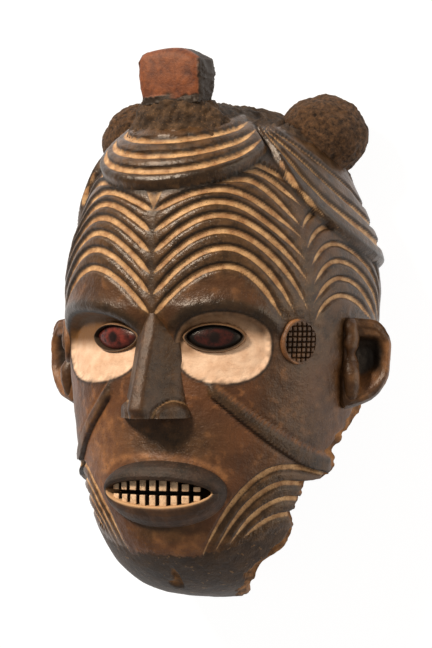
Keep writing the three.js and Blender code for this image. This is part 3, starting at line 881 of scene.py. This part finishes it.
def ear(side):
    """A bowl with a rolled rim and a deep slot, and a notched bar in front of it."""
    outline = smooth_line([*EAR_OUTLINE, EAR_OUTLINE[0]], 181)[None]
    t = np.linspace(0, 1, 73)[:, None]
    reach, lift = along_section(t, EAR_BOWL)
    soft = np.hanning(7) / np.hanning(7).sum()
    lift = sum(weight * np.roll(lift, shift, axis=0) for shift, weight in enumerate(soft, -3))
    lift[:3] = EAR_BOWL[0][1]
    lift[-3:] = EAR_BOWL[-1][1]
    spread = EAR_MIDDLE + (outline - EAR_MIDDLE) * reach[..., None]
    front = t < 0.75
    slope = ease(spread[..., 1], 2, -22) * ease(reach, 0.95, 0.5) * ease(reach, 0.1, 0.4) * front
    helix = ease(spread[..., 1], 11, 16) * front
    lift = mix(lift, np.maximum(lift, 2.5), helix) + 3.5 * slope
    bowl = ear_at(spread[..., 0], spread[..., 1], lift)
    s = np.linspace(0, 1, 90)
    thick = 5 - 2.2 * bump(s - 0.46, 0.07) - 0.9 * bump(s - 0.2, 0.06) + 0.4 * bump(s - 0.7, 0.1)
    bar = roll(smooth_line([ear_at(*spot) for spot in EAR_BAR], 90), thick)
    # Painted shade in the bowl's hollow.
    hollow_shade = ease(reach, 0.75, 0.55) * ease(slope, 0.5, 0.1) * front * (1 - helix)
    edge = 0.8 * ease(spread[..., 0], 19, 24) * ease(spread[..., 1], 16, 8) + 0.9 * slope + 0.2 - 0.2 * side
    sheets = []
    for points, grime, rub in ((bowl, hollow_shade, edge), (bar, 0.1, 0.1)):
        knifed = 0.5 * grain(points, 6, 9) + 0.2 * grain(points, 2.5, 4)
        points = points + knifed[..., None] * (EAR_OUT + EAR_FACE)
        sheets.append(sheet(points, hair=0.75, grime=grime, rub=rub))
    return side_piece("ear", side, sheets, sharp=70)


# Crest and knobs
def rough(points, lumps, seed):
    """Lumps of several sizes, each as high as its weight."""
    return sum(weight * grain(points, size, seed + size) for size, weight in lumps)


# The crest's mound from its foot up, as height, half width and half depth, and where each lies along it.
MOUND_SECTION = [(104, 40, 26), (114, 39, 24), (122, 37, 21), (130, 32, 17.5), (137, 26, 15.6),
                 (141, 23.5, 14.8), (141.5, 0, 0)]
MOUND_SPOTS = [0, 0.2, 0.4, 0.6, 0.78, 0.88, 1]
MOUND_LEAN = 10


def crest_crust():
    """The crusted mound that flares from the foot of the block into the crown."""
    t = np.linspace(0, 1, 80)[:, None]
    angle = np.linspace(0, 2 * math.pi, 241)[None, :]
    height, wide, deep = along_section(t, MOUND_SECTION, MOUND_SPOTS)
    foot = MOUND_SECTION[0][0]
    forward = BLOCK["forward"] - clamp01((BLOCK["base"] - height) / (BLOCK["base"] - foot)) * MOUND_LEAN
    points = stack(wide * np.cos(angle), height, forward + deep * np.sin(angle))
    lumps = rough(points, ((9, 1.3), (4, 1.2), (1.8, 0.7)), 20) * ease(t, 1, 0.9)
    points = points + stack(np.cos(angle), 0.5, np.sin(angle)) * lumps[..., None]
    points[:, -1] = points[:, 0]
    bottom = points[:1] * 0 + np.array([0, foot, BLOCK["forward"] - MOUND_LEAN])
    return grid_piece("crest_crust", [sheet(np.concatenate([bottom, points]), hair=1, crust=0.8)], sharp=80)


def crest_block():
    """The square crest: worn red-brown wood in front, crusted at its sides and back."""
    shoulder = 22
    lean = np.linspace(0, np.pi / 2, 36)
    top = shoulder + (BLOCK["rise"] - shoulder) * np.sin(lean)
    rises = np.concatenate([[0.3], np.linspace(0.3, shoulder, 60)[:-1], top])
    body = np.interp(rises[:60], [0, 10, shoulder], [0.93, 0.985, 1.01])
    scale = np.concatenate([body, 1.01 * profile(np.sin(lean), 4.2)])
    scale[[0, -1]] = 0
    angle = np.linspace(-math.pi, math.pi, 241)[None, :]
    square_x, square_z = (signed_power(wave, 0.42) for wave in (np.cos(angle), np.sin(angle)))
    wide = BLOCK["width"] / 2 * scale[:, None] * square_x * (1 + 0.07 * np.sin(angle))
    deep = BLOCK["depth"] / 2 * scale[:, None] * square_z
    points = stack(wide, BLOCK["base"] + rises[:, None], BLOCK["forward"] + deep)
    ragged = 1.6 * grain(points, 6, 8) + 0.8 * grain(points, 2.5, 9)
    facing = ease(np.sin(angle), 0.35, 0.55) * ease(np.abs(points[..., 0] + 1) + ragged, 22.6, 20.8)
    facing = facing * ease(rises[:, None] + 1.5 * ragged, 4.6, 6)
    dome = ease(rises[:, None], 12, 30) * (1.5 * bump(points[..., 0], 12) - 3.5 * ease(points[..., 0], 6, 24))
    lumps = 0.5 * grain(points, 12, 5) + (1 - facing) * rough(points, ((5, 0.9), (2, 0.6)), 3)
    points = points + stack(np.cos(angle), 0.2, np.sin(angle)) * (lumps - 0.5 - 0.5 * facing)[..., None]
    points[..., 1] += dome
    points[:, -1] = points[:, 0]
    close_poles(points)
    return grid_piece("crest_block_worn", [sheet(points, crust=1 - facing)], sharp=80)


def knob(side):
    """A ball of crusted hair on a short neck that sinks into the crown."""
    bm = bmesh.new()
    bmesh.ops.create_icosphere(bm, subdivisions=7, radius=1)
    facing = np.array([vertex.co[:] for vertex in bm.verts])
    mesh = mesh_of(bm, side_name("knob", side))
    neck_lean = math.radians(28)
    toward = facing @ np.array([-side * math.sin(neck_lean), -math.cos(neck_lean), 0])
    radius = KNOB_RADIUS - 1.5 + 9 * ease(toward, 0.6, 1)
    ball = facing * np.array([1.05, 0.96, 0.98]) * radius[:, None]
    lump = np.sin(ball[:, 0] * 0.21 + side) * np.sin(ball[:, 1] * 0.24 + 1) * np.sin(ball[:, 2] * 0.19 + 2)
    crust = rough(ball + 40 * side, ((14, 1.1), (5.5, 0.8), (2.4, 0.55)), 31)
    points = ball * (1 + 0.035 * lump)[:, None] + facing * crust[:, None]
    points = points + np.array(KNOB_PLACES[side])
    mesh.vertices.foreach_set("co", to_row(points).astype(np.float32).ravel())
    mesh.update()
    return finish_piece(side_name("knob", side), mesh, sharp=180)


# Materials
COLOUR_MIX = {"data_type": "RGBA"}


def linear(hex_colour):
    """An sRGB hex colour as linear RGBA."""
    values = [int(hex_colour[i:i + 2], 16) / 255 for i in (1, 3, 5)]
    return [v / 12.92 if v <= 0.04045 else ((v + 0.055) / 1.055) ** 2.4 for v in values] + [1]


def add_node(tree, kind, settings=None, inputs=None, out=None):
    """Add a node with its settings and links; gives the output named, or the first live one.

    An input is named, or numbered where two share a name.
    """
    node = tree.nodes.new(kind)
    for name, value in (settings or {}).items():
        setattr(node, name, value)
    live = [socket for socket in node.inputs if socket.enabled]
    for key, value in (inputs or {}).items():
        socket = live[key] if isinstance(key, int) else next(s for s in live if s.name == key)
        if isinstance(value, bpy.types.NodeSocket):
            tree.links.new(value, socket)
        else:
            socket.default_value = value
    return node.outputs[out] if out else next((s for s in node.outputs if s.enabled), None)


def new_material(name):
    material = bpy.data.materials.new(name)
    material.use_nodes = True
    material.node_tree.nodes.clear()
    return material, material.node_tree


def surface(tree, colour, roughness, bumps, settings=None):
    """Principled surface with stacked bumps, each a height and its depth in millimetres."""
    normal = {}
    for height, depth in bumps:
        bumped = add_node(tree, "ShaderNodeBump", {}, {"Height": height, "Distance": depth * MM, **normal})
        normal = {"Normal": bumped}
    shader = add_node(tree, "ShaderNodeBsdfPrincipled", {},
                      {"Base Color": colour, "Roughness": roughness, "Specular IOR Level": 0.45, **normal,
                       **(settings or {})})
    add_node(tree, "ShaderNodeOutputMaterial", {}, {"Surface": shader})


def carved_wood():
    """Hardwood, knife-carved, smoked and oiled: dark and glossy, with earth paint in the cuts."""
    material, tree = new_material("smoked_carved_hardwood")
    place = add_node(tree, "ShaderNodeTexCoord", out="Object")
    along = add_node(tree, "ShaderNodeMapping", {}, {"Vector": place, "Scale": (1, 0.12, 1)})

    # Random patterns: feature size in millimetres, detail, and the coordinates they follow.
    noise = {}
    for name, size, detail, where in (("broad", 26, 3, place), ("patchy", 7, 4, place),
                                      ("lumpy", 3, 4, place), ("ragged", 4.5, 3, place),
                                      ("fine", 1.1, 3, place), ("fibres", 1, 3, along)):
        noise[name] = add_node(tree, "ShaderNodeTexNoise", {},
                               {"Vector": where, "Scale": 1 / (size * MM), "Detail": detail})

    # Masks: each finish, and each pattern stretched from low to high, with the most that it counts.
    mask = {name: add_node(tree, "ShaderNodeAttribute", {"attribute_name": name}, out="Fac")
            for name in FINISH}
    for name, source, low, high, most in (
            ("mottle", "broad", 0.35, 0.65, 1), ("spots", "patchy", 0.56, 0.7, 1),
            ("streaks", "fibres", 0.58, 0.75, 0.35), ("patches", "patchy", 0.35, 0.68, 1),
            ("rust", "broad", 0.58, 0.7, 0.5), ("specks", "lumpy", 0.62, 0.7, 1),
            ("pits", "fine", 0.58, 0.7, 0.7), ("fibre", "fibres", 0.3, 0.7, 1),
            ("waver", "ragged", 0.3, 0.7, 1)):
        mask[name] = add_node(tree, "ShaderNodeMapRange", {},
                              {"Value": noise[source], "From Min": low, "From Max": high, "To Max": most})
    for name, share, soft in (("tan", 0.35, 0.35), ("panel", 0.25, 0.5), ("beard", 4, 1),
                              ("crust", -0.3, -0.15)):
        edge = add_node(tree, "ShaderNodeMath", {"operation": "MULTIPLY_ADD"},
                        {0: mask["waver"], 1: share, 2: mask[name]})
        middle = share / 2 + (0.5 if name == "crust" else 0)
        mask[name] = add_node(tree, "ShaderNodeMapRange", {},
                              {"Value": edge, "From Min": middle + soft, "From Max": middle - soft})
    for name, share in (("grime", 0.9), ("worn", 0.75)):
        mask[name] = add_node(tree, "ShaderNodeMath", {"operation": "MULTIPLY"}, {0: mask[name], 1: share})

    # Coats, each over those before it: the mask that shows it, roughness, colour and colours laid over.
    for through, dull, start, layers in (
            ("", 0.48, "#452a18", (("mottle", "#623d22"), ("spots", "#7d5230"), ("streaks", "#291a10"))),
            ("hair", 0.36, "#33220f", (("patches", "#5a4128"), ("rust", "#56381d"), ("pits", "#6b5032"))),
            ("worn", 0.26, "#241c14", ()),
            # Rubbed orange wood, which also serves as a painted highlight.
            ("rub", 0.5, "#68452c", (("patches", "#94673f"), ("pits", "#3a2517"))),
            ("beard", 0.62, "#2d1d0f", (("patches", "#44301c"), ("specks", "#6e5130"))),
            ("tan", 0.6, "#97704a", (("patches", "#d1ac7e"), ("pits", "#4b3520"))),
            # The panel's ochre is partly painted shade.
            ("panel", 0.65, "#e7cab0", (("patches", "#d5b194"), ("ochre", "#694822"))),
            ("lip", 0.64, "#1c120a", (("patches", "#35241a"), ("pits", "#4a3825"))),
            ("cream", 0.6, "#c4a07a", ()),
            # Stains, and painted shade in creases, hollows and gaps and under edges.
            ("grime", 0.6, "#120d09", ()),
            ("crust", 0.85, "#2b1e12", (("patches", "#533e29"), ("pits", "#77593a"))),
            ("inside", 0.8, "#4d3421", (("fibre", "#7a5636"),)),
            ("raw", 0.9, "#4d341e", (("patches", "#96693c"), ("pits", "#2a180c")))):
        coat = linear(start)
        for pattern, over in layers:
            coat = add_node(tree, "ShaderNodeMix", COLOUR_MIX,
                            {"Factor": mask[pattern], "A": coat, "B": linear(over)})
        if not through:
            colour, roughness = coat, dull
            continue
        colour = add_node(tree, "ShaderNodeMix", COLOUR_MIX,
                          {"Factor": mask[through], "A": colour, "B": coat})
        roughness = add_node(tree, "ShaderNodeMix", {"data_type": "FLOAT"},
                             {"Factor": mask[through], "A": roughness, "B": dull})
    surface(tree, colour, roughness, [(noise["patchy"], 0.5), (noise["lumpy"], 0.4),
                                     (noise["fibres"], 0.1), (noise["fine"], 0.22)])
    return material


# Finishes of two mottled colours: feature size in millimetres, the colours, the stretch of noise
# between them, roughness, depth of the bumps in millimetres, and finishes that lay a colour over.
PLAIN_FINISHES = {
    # Earth, resin and fibre caked over carved tufts: dull, grainy and speckled.
    "caked_hair_crust": (3.2, "#170e07", "#705135", (0.35, 0.67), 0.9, 2.6, {}),
    # Red-brown hardwood rubbed smooth in front, under a black crust at the edges.
    "worn_red_hardwood": (9, "#4b220f", "#864b26", (0.35, 0.65), 0.6, 0.8, {"crust": "#281c10"}),
    # Dark red paint on the ball, black pupil, burnished to a gloss; painted shade at its rim and on the right
    # ball.
    "burnished_red_paint": (4, "#2b100e", "#783229", (0.35, 0.65), 0.25, 0.2,
                            {"hair": "#080606", "grime": "#0d0806"}),
    # Cream earth paint on carved teeth, darkened by handling, with painted shade on their sides.
    "cream_earth_paint": (3, "#dfc2a2", "#6f4a2e", (0.48, 0.76), 0.5, 0.4, {"grime": "#1d110a"}),
}


def plain_finish(name):
    size, low, high, (start, end), roughness, depth, coats = PLAIN_FINISHES[name]
    material, tree = new_material(name)
    place = add_node(tree, "ShaderNodeTexCoord", out="Object")
    lumps = add_node(tree, "ShaderNodeTexNoise", {},
                     {"Vector": place, "Scale": 1 / (size * MM), "Detail": 6, "Roughness": 0.75})
    shade = add_node(tree, "ShaderNodeMapRange", {}, {"Value": lumps, "From Min": start, "From Max": end})
    through = [shade]
    for attribute in coats:
        through.append(add_node(tree, "ShaderNodeAttribute", {"attribute_name": attribute}, out="Fac"))
    colour = linear(low)
    for factor, over in zip(through, (high, *coats.values())):
        colour = add_node(tree, "ShaderNodeMix", COLOUR_MIX,
                          {"Factor": factor, "A": colour, "B": linear(over)})
    surface(tree, colour, roughness, [(lumps, depth)])
    return material


# Studio
CAMERA_TURN = 27
CAMERA_AWAY = 1650
CAMERA_ASIDE = -6.6
FRAME_HEIGHT = 427.7
# Lights: place from the mask as the camera sees it and size, both in metres, watts and tint.
LIGHTS = {
    "key": ((-1.2, 1.1, 0.88), 0.35, 45, "#ffead2"),
    "fill": ((1.2, 0.1, 0.9), 0.9, 9, "#f8e0c4"),
    "rim": ((1.3, 0.7, -0.15), 0.5, 19, "#f6dcb8"),
}


def studio():
    turned = Matrix.Rotation(math.radians(CAMERA_TURN), 4, "Y")
    target = Vector(to_row(np.array(turned @ Vector((CAMERA_ASIDE, 0, 0)))).tolist())
    data = bpy.data.cameras.new("photo_view")
    data.sensor_width = 36
    data.lens = data.sensor_width * CAMERA_AWAY / FRAME_HEIGHT
    camera = linked("photo_view", data)
    camera.matrix_world = Matrix.Translation(target) @ turned @ Matrix.Translation((0, 0, CAMERA_AWAY * MM))
    bpy.context.scene.camera = camera

    for name, (spot, size, watts, tint) in LIGHTS.items():
        away = turned @ Vector(spot)
        lamp = bpy.data.lights.new(name, "AREA")
        lamp.energy = watts
        lamp.size = size
        lamp.color = linear(tint)[:3]
        light = linked(name, lamp)
        facing = away.to_track_quat("Z", "Y").to_matrix().to_4x4()
        light.matrix_world = Matrix.Translation(target + away) @ facing

    world = bpy.data.worlds.new("studio")
    world.use_nodes = True
    sky = world.node_tree.nodes["Background"]
    sky.inputs["Color"].default_value = (1, 0.92, 0.82, 1)
    sky.inputs["Strength"].default_value = 0.25
    bpy.context.scene.world = world
    bpy.context.scene.view_settings.view_transform = "Standard"

    bm = bmesh.new()
    bmesh.ops.create_grid(bm, x_segments=2, y_segments=2, size=6)
    floor = linked("floor", mesh_of(bm, "floor"))
    material, tree = new_material("pale_studio_floor")
    surface(tree, (0.12, 0.12, 0.12, 1), 0.9, [], {"Emission Color": (1, 1, 1, 1), "Emission Strength": 0.96})
    floor.data.materials.append(material)


def build():
    wood = carved_wood()
    dress(mask_shell(), wood, "carved_wood", "mask_body")
    dress(nose(), wood, "carved_wood")
    dress(lips(), wood, "carved_wood")
    dress(teeth(), plain_finish("cream_earth_paint"), "carved_wood")
    paint = plain_finish("burnished_red_paint")
    for side in (-1, 1):
        dress(eyelid(side), wood, "carved_wood")
        dress(eyeball(side), paint, "carved_wood")
        dress(temple_disc(side), wood, "carved_wood")
        dress(ear(side), wood, "carved_wood")
    dress(crest_crust(), wood, "carved_wood")
    dress(crest_block(), plain_finish("worn_red_hardwood"), "crest_wood", "crest_block")
    crust = plain_finish("caked_hair_crust")
    dress(knob(-1), crust, "hair_crust", "left_knob")
    dress(knob(1), crust, "hair_crust", "right_knob")


build()
studio()
